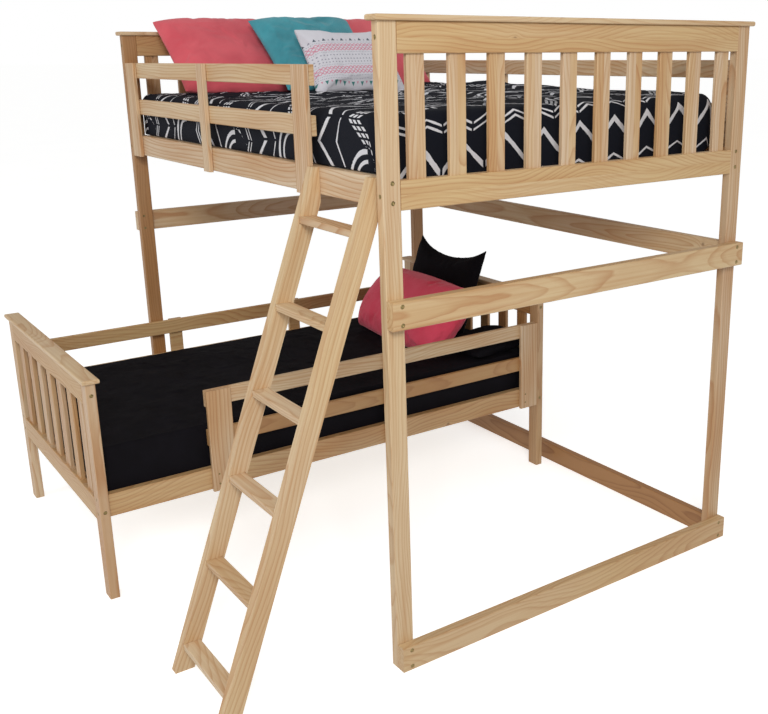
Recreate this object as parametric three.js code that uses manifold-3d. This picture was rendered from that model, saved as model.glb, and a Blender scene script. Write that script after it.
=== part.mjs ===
// A pine loft bed for a full mattress, with a leaning ladder, and the free-standing twin bed
// that stands crossways under it and rolls out on the ladder side.
// Millimetres, +Z up. The origin is at floor level in the middle of the overall outline.
// +X runs along the loft to the panel beside the ladder, and -Y is the ladder side.
//
// Both beds are the same frame in two sizes. In a bed's own frame the length runs along X with
// the head at -X, the entry side is the long side with the opening in its guard, and the wall
// side is the other one.

import * as THREE from "three";
import { mergeVertices } from "three/addons/utils/BufferGeometryUtils.js";
import Module from "manifold-3d";

const wasm = await Module();
wasm.setup();

// Lumber, shared by both beds
const POST_THICK = 33; // along the bed
const POST_WIDE = 57; // across the bed
const RAIL_HIGH = 82;
const SIDE_RAIL_THICK = 30;
const OUTER_RAIL_THICK = 33;
const GUARD_RAIL_HIGH = 61;
const BOARD_THICK = 16; // guard boards, guard rails, panel slats, deck slats and caps
const GUARD_END_BOARD_WIDE = 92;
const GUARD_MIDDLE_BOARD_WIDE = 57;
const PANEL_SLAT_WIDE = 57;
const PANEL_SLAT_PITCH = 138;
const CLEAT_HIGH = 38;
const CLEAT_THICK = 25;
const DECK_SLAT_WIDE = 70;
const DECK_SLAT_PITCH = 150;
const BOARD_TAIL = 5; // how far the guard boards reach below the side rail
const CAP_LIP = 12; // how far a cap stands out past its posts, all round
const CAP_ROUND = 5;
const EASE = 2; // chamfer along the edges of sawn lumber

// Fits
const SEAM = 0.3; // between two pieces that meet
const TENON = 10; // slat ends let into the rails of a panel
const BITE = 1; // boards let into what they are glued to
const DECK_PLAY = 2; // at each end of a deck slat

// Bolt seats
const BOLT_SEAT_RADIUS = 7;
const BOLT_SEAT_DEEP = 4;
const BOLT_SPREAD = 54; // between the two bolts of a rail's end
const BOLT_SEAT_SIDES = 10;

// The heights of a bed go up from the underside of its side rails. A panel's bottom rail hangs
// a little lower, and the guard gaps are from the side rail to the guard's mid rail and from
// there to its top rail.
const LOFT = {
  name: "loft",
  long: 2084,
  wide: 1480,
  sideRailZ: 1421,
  panelRailDrop: 8,
  guardGaps: [87, 86],
  entrySide: -1,
  entryWide: 390,
};
const TWIN = {
  name: "twin",
  long: 1967,
  wide: 1090,
  sideRailZ: 301,
  panelRailDrop: 15,
  guardGaps: [87, 88],
  entrySide: 1,
  entryWide: 371,
};
const POST_ABOVE_GUARD = 110;
const MID_RAIL_Z = 1085; // of the loft's end and wall rails halfway up
const TWIN_STANDS_OUT = 587; // foot posts ahead of the loft's front posts
const TWIN_SIDE_GAP = 14; // to the loft's far posts

// Ladder
const TREAD_THICK = 20;
const TREAD_PITCH = 254;
const FIRST_TREAD_HEIGHT = 90;
const LADDER_CLEAR_WIDTH = 308; // between the stiles
const LADDER_TO_POST = 14; // from the near stile to the loft's post
const LADDER_HEAD_DEEP = 21.7; // what is left of a stile at its level top
const LADDER_LEAN = THREE.MathUtils.degToRad(20.3);
const DADO_DEEP = 8;

// Mattresses and covers. The rooms are what a mattress leaves of the space inside its bed. A
// cover's hem is this high over the deck: the comforter is tucked in at the ends only, because
// it is too thick to go between the mattress and the side rails. The rumple is its highest fold.
const LOFT_BEDDING = { thick: 190, endRoom: 80, sideRoom: 16 };
const TWIN_BEDDING = { thick: 178, endRoom: 29, sideRoom: 23 };
const COMFORTER = { name: "comforter", thick: 12, sideHem: 30, endHem: 9, rumple: 34 };
const BLANKET = { name: "blanket", thick: 6, sideHem: 9, endHem: 9, rumple: 8 };
const COVER_EASE = 2.5; // between the sides of a mattress and its cover
const COVER_PLAY = 3; // between a cover and the head panel
const MATTRESS_CROWN = 8;
const MATTRESS_CORNER = 70;
const MATTRESS_EDGE = 28;
const MATTRESS_WAIST = 5.6; // how far the sides draw in between the edge rolls
const RUMPLE_LENGTH = 130;
const FOLD_HEIGHT = 4;
const FOLD_LENGTH = 95;
const FOLD_SLANT_LENGTH = 210;
const HEM_RIPPLE = 1.2;
const HEM_RIPPLE_TURN = 1.9; // radians from one point of the outline to the next
const CORNER_STEPS = 3; // faces round a quarter corner of a mattress
const SIDE_STEPS = 9; // faces along a side

// Pillows
const STANDARD = { wide: 600, high: 440, thick: 140, drawnIn: 0.09 };
const SQUARE = { wide: 500, high: 448, thick: 130, drawnIn: 0.09 };
const LUMBAR = { wide: 410, high: 328, thick: 100, drawnIn: 0.09 };
const LARGE = { wide: 735, high: 395, thick: 190, drawnIn: 0.03, squareness: 3 };
const UPRIGHT = { wide: 540, high: 455, thick: 90, drawnIn: 0.18 };
const SMALL = { wide: 245, high: 285, thick: 95, drawnIn: 0.09 };
const PILLOW_POINTS = 24; // round a pillow's rim
const PAIR_GAP = 8; // between the two pillows that stand side by side

// Where each pillow's middle stands, from the head panel and from the mattress's entry edge,
// and by how many degrees it leans back, rolls and turns
const PAIR_PLACE = { fromHead: 196, fromEdge: 348, lean: 49 };
const SQUARE_PLACE = { fromHead: 376, fromEdge: 648, lean: 49, tilt: -2 };
const LUMBAR_PLACE = { fromHead: 578, fromEdge: 684, lean: 38, turned: -4 };
const SMALL_PLACE = { fromHead: 148, fromEdge: 130, lean: 84 };
const LARGE_PLACE = { fromHead: 305, fromEdge: 502, lean: 42 };
const UPRIGHT_PLACE = { fromHead: 104, fromEdge: 535, lean: 20 };

// Finishes
const paint = (color, roughness, metalness = 0) => () =>
  new THREE.MeshStandardMaterial({ color, roughness, metalness });
const pine = paint(0xd9b98a, 0.6);
const knottyPine = paint(0xcfa873, 0.62);
const ticking = paint(0xe9e6df, 0.95);
const blackCotton = paint(0x15151a, 0.95);
const coralCotton = paint(0xd9525e, 0.9);
const tealCotton = paint(0x3f949b, 0.9);
const whiteCotton = paint(0xe4e2e6, 0.9);

// Spans are [low, high] pairs along one axis.
const spanFrom = (low, size) => [low, low + size];
const spanAbout = (centre, size) => [centre - size / 2, centre + size / 2];
const inset = ([low, high], by) => [low + by, high - by];
const centreOf = ([low, high]) => (low + high) / 2;
const sizeOf = ([low, high]) => high - low;
const facing = (side, near, far) => (side > 0 ? [near, far] : [-far, -near]);
const evenly = (low, high, count) =>
  Array.from({ length: count }, (_, i) => low + ((high - low) * i) / (count - 1));

function named(name, geometry, finish) {
  const mesh = new THREE.Mesh(geometry, finish());
  mesh.name = name;
  return mesh;
}

// A sawn board filling three spans, with its four long edges chamfered.
function board(x, y, z, ease = EASE) {
  const spans = [x, y, z];
  const along = spans.map(sizeOf).indexOf(Math.max(...spans.map(sizeOf)));
  const [across, up] = [spans[(along + 1) % 3], spans[(along + 2) % 3]].map(sizeOf);
  const w = across / 2;
  const h = up / 2;
  const corners = [
    [w - ease, -h], [w, ease - h], [w, h - ease], [w - ease, h],
    [ease - w, h], [-w, h - ease], [-w, ease - h], [ease - w, -h],
  ];
  const square = [[w, -h], [w, h], [-w, h], [-w, -h]];
  const outline = (ease > 0 ? corners : square).map((p) => new THREE.Vector2(...p));
  const length = sizeOf(spans[along]);
  const solid = new THREE.ExtrudeGeometry(new THREE.Shape(outline), {
    depth: length,
    bevelEnabled: false,
  });
  solid.translate(0, 0, -length / 2);
  if (along === 0) solid.applyMatrix4(new THREE.Matrix4().makeBasis(unit(1), unit(2), unit(0)));
  if (along === 1) solid.applyMatrix4(new THREE.Matrix4().makeBasis(unit(2), unit(0), unit(1)));
  return solid.translate(...spans.map(centreOf));
}

function unit(axis) {
  return new THREE.Vector3().setComponent(axis, 1);
}

// A cap board: every edge rounded over.
function capBoard(x, y, z) {
  const plan = new THREE.Shape([
    new THREE.Vector2(x[0] + CAP_ROUND, y[0] + CAP_ROUND),
    new THREE.Vector2(x[1] - CAP_ROUND, y[0] + CAP_ROUND),
    new THREE.Vector2(x[1] - CAP_ROUND, y[1] - CAP_ROUND),
    new THREE.Vector2(x[0] + CAP_ROUND, y[1] - CAP_ROUND),
  ]);
  const solid = new THREE.ExtrudeGeometry(plan, {
    depth: sizeOf(z) - 2 * CAP_ROUND,
    bevelThickness: CAP_ROUND,
    bevelSize: CAP_ROUND,
    bevelSegments: 3,
  });
  return solid.translate(0, 0, z[0] + CAP_ROUND);
}

// Solids for cutting and joining
function solidOf(geometry) {
  const bare = geometry.clone();
  bare.deleteAttribute("normal");
  bare.deleteAttribute("uv");
  const merged = mergeVertices(bare, 1e-4);
  return new wasm.Manifold(
    new wasm.Mesh({
      numProp: 3,
      vertProperties: new Float32Array(merged.attributes.position.array),
      triVerts: new Uint32Array(merged.index.array),
    }),
  );
}

function geometryOf(solid) {
  const { vertProperties, triVerts } = solid.getMesh();
  const geometry = new THREE.BufferGeometry();
  geometry.setAttribute("position", new THREE.BufferAttribute(vertProperties, 3));
  geometry.setIndex(new THREE.BufferAttribute(triVerts, 1));
  geometry.computeVertexNormals();
  return geometry;
}

const joined = (pieces) =>
  geometryOf(pieces.map(solidOf).reduce((whole, piece) => whole.add(piece)));
const cut = (geometry, tools) =>
  geometryOf(tools.map(solidOf).reduce((whole, tool) => whole.subtract(tool), solidOf(geometry)));

// The seat of one bolt head, sunk into the face at the given place. The direction is the
// face's outward normal along X or Y.
function boltSeat(place, direction) {
  const seat = new THREE.CylinderGeometry(
    BOLT_SEAT_RADIUS,
    BOLT_SEAT_RADIUS,
    2 * BOLT_SEAT_DEEP,
    BOLT_SEAT_SIDES,
  );
  if (direction === "x") seat.rotateZ(Math.PI / 2);
  return seat.translate(...place);
}

const boltPair = (z) => [z + (RAIL_HIGH - BOLT_SPREAD) / 2, z + (RAIL_HIGH + BOLT_SPREAD) / 2];

// Where the parts of a bed lie in its own frame
function layout(bed) {
  const endFace = bed.long / 2;
  const sideFace = bed.wide / 2;
  const between = endFace - POST_THICK - SEAM; // half the length between the posts
  const recess = BOARD_THICK; // rails lie behind the guard boards, which are flush with the posts
  const railInner = sideFace - recess - SIDE_RAIL_THICK;
  const cleatTop = bed.sideRailZ + CLEAT_HIGH;
  const deckTop = cleatTop - BITE + BOARD_THICK;
  const midRailZ = bed.sideRailZ + RAIL_HIGH + bed.guardGaps[0];
  const topRailZ = midRailZ + GUARD_RAIL_HIGH + bed.guardGaps[1];
  const guardRailZ = [midRailZ, topRailZ];
  const guardTop = topRailZ + GUARD_RAIL_HIGH;
  const postHigh = guardTop + POST_ABOVE_GUARD;
  const panelRailZ = [bed.sideRailZ - bed.panelRailDrop, postHigh - RAIL_HIGH];
  const plan = { endFace, sideFace, between, recess, railInner };
  return { ...plan, cleatTop, deckTop, guardRailZ, guardTop, postHigh, panelRailZ };
}

// Posts, with a seat for every bolt head that pulls a rail onto them
function post(bed, end, side) {
  const { endFace, sideFace, recess, postHigh, panelRailZ } = layout(bed);
  const x = facing(end, endFace - POST_THICK, endFace);
  const y = facing(side, sideFace - POST_WIDE, sideFace);
  const railCentre = side * (sideFace - recess - SIDE_RAIL_THICK / 2);
  const panelSeats = panelRailZ.map((z) =>
    boltSeat([centreOf(x), side * sideFace, z + RAIL_HIGH / 2], "y"),
  );
  const railSeats = boltPair(bed.sideRailZ).map((z) =>
    boltSeat([end * endFace, railCentre, z], "x"),
  );
  return cut(board(x, y, [0, postHigh]), [...panelSeats, ...railSeats]);
}

// An end panel: slats let into a top and a bottom rail, glued up as one piece
function endPanel(bed, end) {
  const { endFace, sideFace, panelRailZ } = layout(bed);
  const x = facing(end, endFace - POST_THICK, endFace);
  const half = sideFace - POST_WIDE - SEAM;
  const [bottom, top] = panelRailZ.map((z) => spanFrom(z, RAIL_HIGH));
  const slatX = spanAbout(centreOf(x), BOARD_THICK);
  const slatZ = [bottom[1] - TENON, top[0] + TENON];
  const pitches = Math.floor((2 * half - PANEL_SLAT_WIDE) / PANEL_SLAT_PITCH);
  const reach = (pitches * PANEL_SLAT_PITCH) / 2;
  const slats = evenly(-reach, reach, pitches + 1).map((y) =>
    board(slatX, spanAbout(y, PANEL_SLAT_WIDE), slatZ),
  );
  return joined([board(x, [-half, half], bottom), board(x, [-half, half], top), ...slats]);
}

function cap(bed, end) {
  const { endFace, sideFace, postHigh } = layout(bed);
  const x = facing(end, endFace - POST_THICK - CAP_LIP, endFace + CAP_LIP);
  const reach = sideFace + CAP_LIP;
  return capBoard(x, [-reach, reach], spanFrom(postHigh + SEAM, BOARD_THICK));
}

function sideRail(bed, side) {
  const { sideFace, between, recess, railInner } = layout(bed);
  return board(
    [-between, between],
    facing(side, railInner, sideFace - recess),
    spanFrom(bed.sideRailZ, RAIL_HIGH),
  );
}

// Two cleats along the side rails with the deck slats screwed down on them
function slatDeck(bed) {
  const { between, railInner, cleatTop, deckTop } = layout(bed);
  const cleatZ = [bed.sideRailZ, cleatTop];
  const outer = railInner - SEAM;
  const cleats = [-1, 1].map((side) =>
    board(inset([-between, between], SEAM), facing(side, outer - CLEAT_THICK, outer), cleatZ, 0),
  );
  const pitches = Math.floor((2 * between - DECK_SLAT_WIDE) / DECK_SLAT_PITCH);
  const reach = (pitches * DECK_SLAT_PITCH) / 2;
  const across = inset([-railInner, railInner], DECK_PLAY);
  const slats = evenly(-reach, reach, pitches + 1).map((x) =>
    board(spanAbout(x, DECK_SLAT_WIDE), across, [deckTop - BOARD_THICK, deckTop], 0),
  );
  return joined([...cleats, ...slats]);
}

// Guards. Boards stand flush with the posts, and the rails lie just behind them.
function guardSpans(bed, side) {
  const { sideFace, recess, guardTop } = layout(bed);
  const back = sideFace - recess;
  const rails = facing(side, back - BOARD_THICK, back);
  const glued = facing(side, back - BOARD_THICK, back + SEAM + BITE);
  const boards = facing(side, back + SEAM, sideFace);
  const boardZ = [bed.sideRailZ - BOARD_TAIL, guardTop];
  return { rails, glued, boards, boardZ };
}

const guardRail = (x, y, z) => board(x, y, spanFrom(z, GUARD_RAIL_HIGH));

// Spans of the guard boards: one at each end of the run and the rest evenly between them
function guardBoardSpans([low, high], middleBoards) {
  const gap = (high - low - 2 * GUARD_END_BOARD_WIDE - middleBoards * GUARD_MIDDLE_BOARD_WIDE)
    / (middleBoards + 1);
  const widths = [
    GUARD_END_BOARD_WIDE,
    ...Array(middleBoards).fill(GUARD_MIDDLE_BOARD_WIDE),
    GUARD_END_BOARD_WIDE,
  ];
  let from = low;
  return widths.map((wide) => {
    const span = spanFrom(from, wide);
    from += wide + gap;
    return span;
  });
}

function wallGuard(bed) {
  const { between, guardRailZ } = layout(bed);
  const { glued, boards, boardZ } = guardSpans(bed, -bed.entrySide);
  const run = [-between, between];
  const rails = guardRailZ.map((z) => guardRail(run, glued, z));
  return joined([...rails, ...guardBoardSpans(run, 2).map((x) => board(x, boards, boardZ))]);
}

// The pieces of the entry side's guard, which stops short of the foot post
function entryGuard(bed) {
  const { between, guardRailZ } = layout(bed);
  const { rails, boards, boardZ } = guardSpans(bed, bed.entrySide);
  const run = [-between, between - bed.entryWide];
  const [mid, top] = guardRailZ.map((z) => guardRail(run, rails, z));
  const [head, middle, foot] = guardBoardSpans(run, 1).map((x) => board(x, boards, boardZ));
  return { mid_rail: mid, top_rail: top, head_board: head, middle_board: middle, foot_board: foot };
}

function bedFrame(bed) {
  const group = new THREE.Group();
  const add = (label, geometry, finish = pine) =>
    group.add(named(`${bed.name}_${label}`, geometry, finish));
  for (const [endName, end] of [["head", -1], ["foot", 1]]) {
    for (const [sideName, side] of [["entry", bed.entrySide], ["wall", -bed.entrySide]])
      add(`post_${endName}_${sideName}`, post(bed, end, side));
    add(`panel_${endName}`, endPanel(bed, end), knottyPine);
    add(`cap_${endName}`, cap(bed, end));
  }
  add("side_rail_entry", sideRail(bed, bed.entrySide), knottyPine);
  add("side_rail_wall", sideRail(bed, -bed.entrySide), knottyPine);
  add("slat_deck", slatDeck(bed));
  add("guard_wall", wallGuard(bed), knottyPine);
  for (const [label, geometry] of Object.entries(entryGuard(bed)))
    add(`guard_entry_${label}`, geometry, knottyPine);
  return group;
}

// Rails bolted to the outer faces of the loft's end posts, and the two that run between the
// posts along the wall side
function outerRail(end, z) {
  const { endFace, sideFace, recess } = layout(LOFT);
  const face = endFace + SEAM + OUTER_RAIL_THICK;
  const boltCentre = sideFace - recess - SIDE_RAIL_THICK / 2;
  const seats = [-boltCentre, boltCentre].flatMap((y) =>
    boltPair(z).map((height) => boltSeat([end * face, y, height], "x")),
  );
  const x = facing(end, endFace + SEAM, face);
  return cut(board(x, [-sideFace, sideFace], spanFrom(z, RAIL_HIGH)), seats);
}

function backRail(z) {
  const { sideFace, between, recess, railInner } = layout(LOFT);
  const y = facing(-LOFT.entrySide, railInner, sideFace - recess);
  return board([-between, between], y, spanFrom(z, RAIL_HIGH));
}

function lowRails() {
  const group = new THREE.Group();
  for (const [endName, end] of [["head", -1], ["foot", 1]]) {
    group.add(named(`loft_mid_rail_${endName}`, outerRail(end, MID_RAIL_Z), knottyPine));
    group.add(named(`loft_floor_rail_${endName}`, outerRail(end, 0), knottyPine));
  }
  group.add(named("loft_mid_rail_wall", backRail(MID_RAIL_Z), knottyPine));
  group.add(named("loft_floor_rail_wall", backRail(0), knottyPine));
  return group;
}

// Ladder, in the loft's frame
function ladderPlaces() {
  const { endFace, sideFace, recess } = layout(LOFT);
  const innerNear = endFace - POST_THICK - LADDER_TO_POST - POST_THICK;
  const near = spanFrom(innerNear, POST_THICK);
  const far = spanFrom(innerNear - LADDER_CLEAR_WIDTH - POST_THICK, POST_THICK);
  const railFace = -sideFace + recess - SEAM;
  const topZ = LOFT.sideRailZ + RAIL_HIGH;
  const slope = Math.tan(LADDER_LEAN);
  const footFront = railFace - LADDER_HEAD_DEEP - topZ * slope;
  const level = POST_WIDE / Math.cos(LADDER_LEAN); // width of a stile cut level
  const frontAt = (z) => footFront + z * slope;
  const treadDepth = level - TREAD_THICK * slope;
  const highest = (railFace - treadDepth - footFront) / slope; // for a tread clear of the rail
  const treads = Math.floor((highest - FIRST_TREAD_HEIGHT) / TREAD_PITCH) + 1;
  return { near, far, footFront, railFace, topZ, slope, level, frontAt, treadDepth, treads };
}

// A stile: level at the foot and the head, and cut upright where it meets the side rail
function stile(x) {
  const { footFront, railFace, topZ, slope, level, frontAt } = ladderPlaces();
  const meets = (railFace - footFront - level) / slope;
  const side = new THREE.Shape(
    [
      [footFront, 0],
      [footFront + level, 0],
      [railFace, meets],
      [railFace, topZ],
      [frontAt(topZ), topZ],
    ].map((p) => new THREE.Vector2(...p)),
  );
  const solid = new THREE.ExtrudeGeometry(side, { depth: sizeOf(x), bevelEnabled: false });
  solid.applyMatrix4(new THREE.Matrix4().makeBasis(unit(1), unit(2), unit(0)));
  return solid.translate(x[0], 0, 0);
}

function tread(index, grow = 0) {
  const { near, far, frontAt, treadDepth } = ladderPlaces();
  const top = FIRST_TREAD_HEIGHT + index * TREAD_PITCH;
  const x = [far[1] - DADO_DEEP - grow, near[0] + DADO_DEEP + grow];
  const y = [frontAt(top) - grow, frontAt(top) + treadDepth + grow];
  return board(x, y, [top - TREAD_THICK - grow, top + grow], grow ? 0 : EASE);
}

function ladder() {
  const group = new THREE.Group();
  const { near, far, treads } = ladderPlaces();
  const steps = Array.from({ length: treads }, (_, i) => i);
  const dados = steps.map((i) => tread(i, SEAM));
  group.add(named("ladder_stile_near", cut(stile(near), dados), pine));
  group.add(named("ladder_stile_far", cut(stile(far), dados), pine));
  for (const i of steps) group.add(named(`ladder_tread_${i + 1}`, tread(i), pine));
  return group;
}

// Soft forms are skins drawn through rings of points, from a centre point out over the edge
// and back to a centre point below.
function skin(top, rings, bottom) {
  const count = rings[0].length;
  const points = [top, ...rings.flat(), bottom];
  const faces = [];
  const at = (ring, i) => 1 + ring * count + (i % count);
  for (let i = 0; i < count; i++) {
    faces.push(0, at(0, i), at(0, i + 1));
    for (let ring = 0; ring + 1 < rings.length; ring++) {
      faces.push(at(ring, i), at(ring + 1, i), at(ring + 1, i + 1));
      faces.push(at(ring, i), at(ring + 1, i + 1), at(ring, i + 1));
    }
    faces.push(points.length - 1, at(rings.length - 1, i + 1), at(rings.length - 1, i));
  }
  const geometry = new THREE.BufferGeometry().setFromPoints(points);
  geometry.setIndex(faces);
  geometry.computeVertexNormals();
  return geometry;
}

// Points round a rectangle with round corners, the same number for every size
function roundedLoop(halfX, halfY, radius) {
  const corners = [[1, 1], [-1, 1], [-1, -1], [1, -1]].map(
    ([x, y]) => new THREE.Vector2(x * (halfX - radius), y * (halfY - radius)),
  );
  const arcs = corners.map((corner, k) =>
    evenly(k, k + 1, CORNER_STEPS + 1).map((quarters) => {
      const angle = (quarters * Math.PI) / 2;
      return corner.clone().add(new THREE.Vector2(Math.cos(angle), Math.sin(angle))
        .multiplyScalar(radius));
    }),
  );
  return arcs.flatMap((arc, k) => {
    const [from, to] = [arc[CORNER_STEPS], arcs[(k + 1) % 4][0]];
    const straight = evenly(0, 1, SIDE_STEPS + 1).slice(1, -1);
    return [...arc, ...straight.map((share) => from.clone().lerp(to, share))];
  });
}

// Height of a mattress's crown over its edge, full in the middle and none at the sides
const crown = (u, v) => MATTRESS_CROWN * (1 - u ** 4) * (1 - v ** 4);

// One ring of a mattress-shaped form: a share of the full outline, at a height over the edge
function mattressRing({ long, wide }, share, grow, z, crowned = false) {
  const halfX = (long / 2) * share + grow;
  const halfY = (wide / 2) * share + grow;
  const radius = MATTRESS_CORNER * share + grow;
  return roundedLoop(halfX, halfY, radius).map((p) => {
    const lift = crowned ? crown(p.x / (long / 2 + grow), p.y / (wide / 2 + grow)) : 0;
    return new THREE.Vector3(p.x, p.y, z + Math.max(lift, 0));
  });
}

// A mattress with a crowned top, rolled edges and sides drawn in between the edge rolls
function mattress(size, base) {
  const top = base + size.thick - MATTRESS_CROWN;
  const roll = MATTRESS_EDGE;
  const rings = [
    mattressRing(size, 0.6, 0, top, true),
    mattressRing(size, 1, -roll, top, true),
    mattressRing(size, 1, -roll / 4, top - roll / 4),
    mattressRing(size, 1, 0, top - roll),
    mattressRing(size, 1, -MATTRESS_WAIST, (base + top) / 2),
    mattressRing(size, 1, 0, base + roll),
    mattressRing(size, 1, -roll / 4, base + roll / 4),
    mattressRing(size, 1, -roll, base),
  ];
  const middle = new THREE.Vector3(0, 0, top + MATTRESS_CROWN);
  return skin(middle, rings, new THREE.Vector3(0, 0, base));
}

// Broad folds on top of a cover: a rumple toward the wall side and waves all over, both fading
// out at the edges
function topFold({ x, y }, { long, wide }, side, rumple) {
  const toWall = (1 - (side * y * 2) / wide) / 2;
  const inBoard = (1 - ((2 * x) / long) ** 4) * (1 - ((2 * y) / wide) ** 6);
  const heap = rumple * toWall ** 2 * (1 + Math.sin(x / RUMPLE_LENGTH + 1) / 3);
  const waves = FOLD_HEIGHT * (1 + Math.sin(x / FOLD_LENGTH + y / FOLD_SLANT_LENGTH));
  return inBoard * (heap + waves);
}

// A cover laid over a mattress with its sides hanging inside the rails
function cover(size, base, side, { thick, sideHem, endHem, rumple }) {
  const edge = base + size.thick - MATTRESS_CROWN;
  const roll = MATTRESS_EDGE;
  const folded = (share, grow, z) =>
    mattressRing(size, share, grow, z, true).map((p) =>
      p.setZ(p.z + topFold(p, size, side, rumple)),
    );
  const rippled = (p, i) => {
    const out = 1 + (HEM_RIPPLE * Math.cos(i * HEM_RIPPLE_TURN)) / size.wide;
    return p.multiply(new THREE.Vector3(out, out, 1));
  };
  const hem = (grow) =>
    mattressRing(size, 1, grow, base + sideHem).map((p) => {
      const atEnd = Math.abs(p.y) < size.wide / 2 - MATTRESS_CORNER / 2;
      return atEnd ? p.setZ(base + endHem) : p;
    });
  const sheet = (grow, top) => [
    mattressRing(size, 1, grow - roll / 4, top - roll / 4),
    mattressRing(size, 1, grow, edge - roll).map(rippled),
    hem(grow).map(rippled),
  ];
  const inner = COVER_EASE;
  const outer = COVER_EASE + thick;
  const under = edge + SEAM;
  const over = under + thick;
  const rings = [
    folded(0.3, 0, over),
    folded(0.6, 0, over),
    folded(0.85, 0, over),
    folded(1, outer - roll, over),
    ...sheet(outer, over),
    ...sheet(inner, under).toReversed(),
    mattressRing(size, 1, inner - roll, under, true),
    mattressRing(size, 0.6, 0, under, true),
  ];
  const middle = (z) => new THREE.Vector3(0, 0, z + MATTRESS_CROWN);
  const top = middle(over);
  top.z += topFold(top, size, side, rumple);
  return skin(top, rings, middle(under));
}

// A stuffed pillow lying flat: pulled corners, sides drawn in and a full middle
function pillowForm({ wide, high, thick, drawnIn, squareness = 6 }) {
  const ring = (share, lift) => {
    const power = 2 + squareness * share ** 2; // an ellipse in the middle, squarer at the rim
    return Array.from({ length: PILLOW_POINTS }, (_, i) => {
      const angle = (2 * Math.PI * i) / PILLOW_POINTS;
      const [c, s] = [Math.cos(angle), Math.sin(angle)];
      const square = (Math.abs(c) ** power + Math.abs(s) ** power) ** (-1 / power);
      const reach = share * square * (1 - drawnIn * share * Math.cos(2 * angle) ** 2);
      return new THREE.Vector3((reach * c * wide) / 2, (reach * s * high) / 2, lift);
    });
  };
  const shares = [0.35, 0.7, 0.9];
  const lift = (share) => (thick / 2) * (1 - share ** 2.6) ** 0.75;
  const front = shares.map((share) => ring(share, lift(share)));
  const back = shares.toReversed().map((share) => ring(share, -lift(share)));
  const rings = [...front, ring(1, 0), ...back];
  const tip = thick / 2;
  return skin(new THREE.Vector3(0, 0, tip), rings, new THREE.Vector3(0, 0, -tip));
}

// Least height between a loose piece and what is under it, found over each corner, under each
// corner and where two edges cross in plan
function triangles(mesh) {
  mesh.updateWorldMatrix(true, false);
  const flat = mesh.geometry.index ? mesh.geometry.toNonIndexed() : mesh.geometry;
  const position = flat.attributes.position;
  const points = Array.from({ length: position.count }, (_, i) =>
    new THREE.Vector3().fromBufferAttribute(position, i).applyMatrix4(mesh.matrixWorld),
  );
  return Array.from({ length: points.length / 3 }, (_, i) => points.slice(3 * i, 3 * i + 3));
}

const turn = (a, b, p) => (b.x - a.x) * (p.y - a.y) - (b.y - a.y) * (p.x - a.x);

function heightIn([a, b, c], p) {
  const whole = turn(a, b, c);
  if (Math.abs(whole) < 1e-9) return null;
  const [u, v, w] = [turn(b, c, p) / whole, turn(c, a, p) / whole, turn(a, b, p) / whole];
  return u < 0 || v < 0 || w < 0 ? null : u * a.z + v * b.z + w * c.z;
}

function crossing(a, b, c, d) {
  const [from, to] = [turn(c, d, a), turn(c, d, b)];
  const [near, far] = [turn(a, b, c), turn(a, b, d)];
  if (from * to >= 0 || near * far >= 0) return null;
  const upper = a.z + ((b.z - a.z) * from) / (from - to);
  return upper - (c.z + ((d.z - c.z) * near) / (near - far));
}

function leastGap(above, below) {
  let least = Infinity;
  for (let i = 0; i < 3; i++) {
    const floor = heightIn(below, above[i]);
    const roof = heightIn(above, below[i]);
    if (floor !== null) least = Math.min(least, above[i].z - floor);
    if (roof !== null) least = Math.min(least, roof - below[i].z);
    for (let j = 0; j < 3; j++) {
      const gap = crossing(above[i], above[(i + 1) % 3], below[j], below[(j + 1) % 3]);
      if (gap !== null) least = Math.min(least, gap);
    }
  }
  return least;
}

function dropHeight(piece, supports) {
  const inPlan = (mesh) =>
    triangles(mesh).map((corners) => ({ corners, plan: new THREE.Box2().setFromPoints(corners) }));
  const lower = supports.flatMap(inPlan);
  const gaps = inPlan(piece).flatMap((above) =>
    lower
      .filter((below) => above.plan.intersectsBox(below.plan))
      .map((below) => leastGap(above.corners, below.corners)),
  );
  return Math.min(...gaps);
}

const headInside = (bed) => POST_THICK - bed.long / 2;

// A mattress and its cover, pushed up to the head panel
function madeBed(bed, { thick, endRoom, sideRoom }, sheet) {
  const { endFace, railInner, deckTop } = layout(bed);
  const long = 2 * (endFace - POST_THICK) - endRoom;
  const wide = 2 * railInner - sideRoom;
  const size = { long, wide, thick };
  const base = deckTop + SEAM;
  const group = new THREE.Group();
  group.position.x = headInside(bed) + COVER_PLAY + sheet.thick + COVER_EASE + long / 2;
  const body = named(`${bed.name}_mattress`, mattress(size, base), ticking);
  const draped = cover(size, base, bed.entrySide, sheet);
  const top = named(`${bed.name}_${sheet.name}`, draped, blackCotton);
  group.add(body, top);
  group.updateMatrixWorld();
  return { bed, group, top, entryEdge: (bed.entrySide * wide) / 2 };
}

// Stands a pillow up facing the foot, leans it back and lowers it until it rests on the cover
// or on the pillows behind it
function laidPillow({ bed, top, entryEdge }, label, size, place, finish, behind = []) {
  const { fromHead, fromEdge, lean, tilt = 0, turned = 0 } = place;
  const degrees = THREE.MathUtils.degToRad;
  const pillow = named(`${bed.name}_pillow_${label}`, pillowForm(size), finish);
  pillow.rotation.set(degrees(90 - lean), 0, degrees(90 + turned), "ZXY");
  pillow.rotateZ(degrees(tilt));
  const aside = entryEdge - bed.entrySide * fromEdge;
  pillow.position.set(headInside(bed) + fromHead, aside, 2 * layout(bed).postHigh);
  pillow.position.z -= dropHeight(pillow, [top, ...behind]) - SEAM;
  return pillow;
}

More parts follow.
